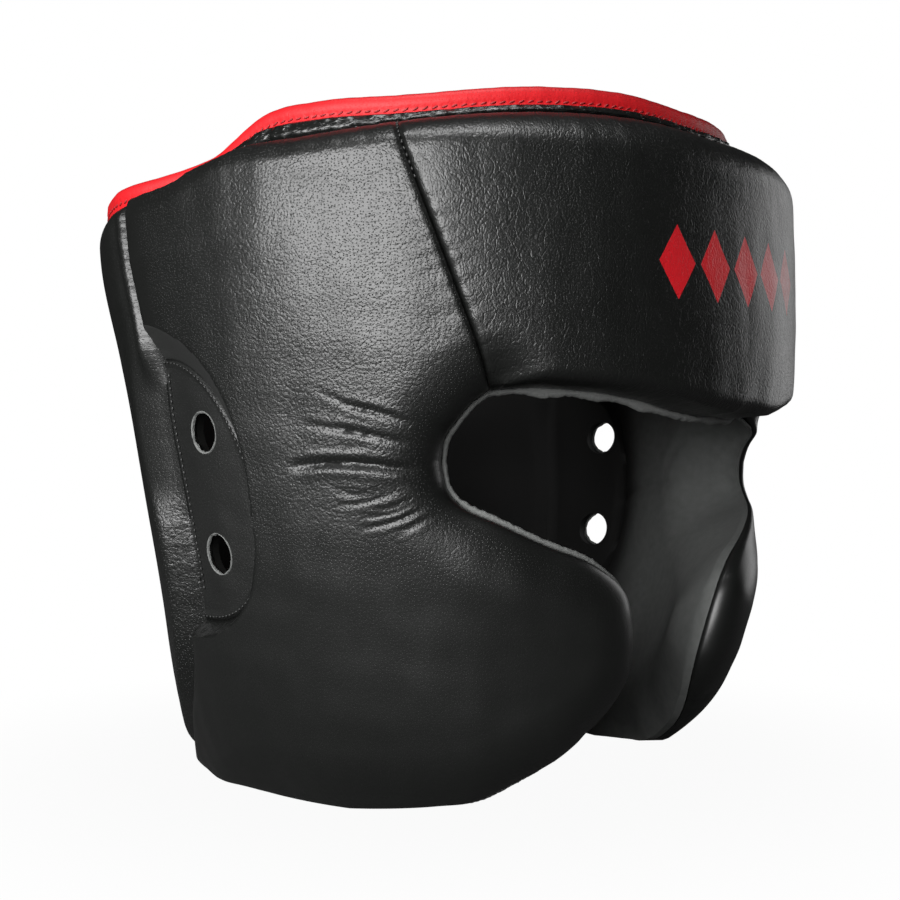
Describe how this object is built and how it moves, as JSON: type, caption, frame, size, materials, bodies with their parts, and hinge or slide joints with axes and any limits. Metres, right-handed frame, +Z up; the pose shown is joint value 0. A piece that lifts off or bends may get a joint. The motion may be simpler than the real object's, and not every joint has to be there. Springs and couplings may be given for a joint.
{
  "type": "boxing head guard",
  "caption": "Padded boxing head guard, open at the crown, with a forehead pad, cheek protectors and ear patches with sound holes.",
  "frame": {"origin": "middle of the bounding box at the floor on which the guard stands", "axes": "+Z up through the open crown, -Y where the wearer's face looks, -X the wearer's right"},
  "size_m": [0.2394, 0.2363, 0.216],
  "materials": {
    "forehead_pad": "satin grained leather",
    "side_pad_right": "satin grained leather",
    "side_pad_left": "satin grained leather",
    "ear_patch_right": "satin grained leather",
    "ear_patch_left": "satin grained leather",
    "back_pad_right": "satin grained leather",
    "back_pad_left": "satin grained leather",
    "closure_strap": "satin grained leather",
    "lining": "matt suede edge",
    "rim_collar": "satin grained leather",
    "top_binding": "satin folded leather",
    "nape_binding_right": "satin folded leather",
    "nape_binding_left": "satin folded leather"
  },
  "bodies": {
    "root": {"forehead_pad": "forehead_pad", "side_pad_right": "side_pad_right", "side_pad_left": "side_pad_left", "ear_patch_right": "ear_patch_right", "ear_patch_left": "ear_patch_left", "back_pad_right": "back_pad_right", "back_pad_left": "back_pad_left", "closure_strap": "closure_strap", "lining": "lining", "rim_collar": "rim_collar", "top_binding": "top_binding", "nape_binding_right": "nape_binding_right", "nape_binding_left": "nape_binding_left"}
  },
  "joints": []
}
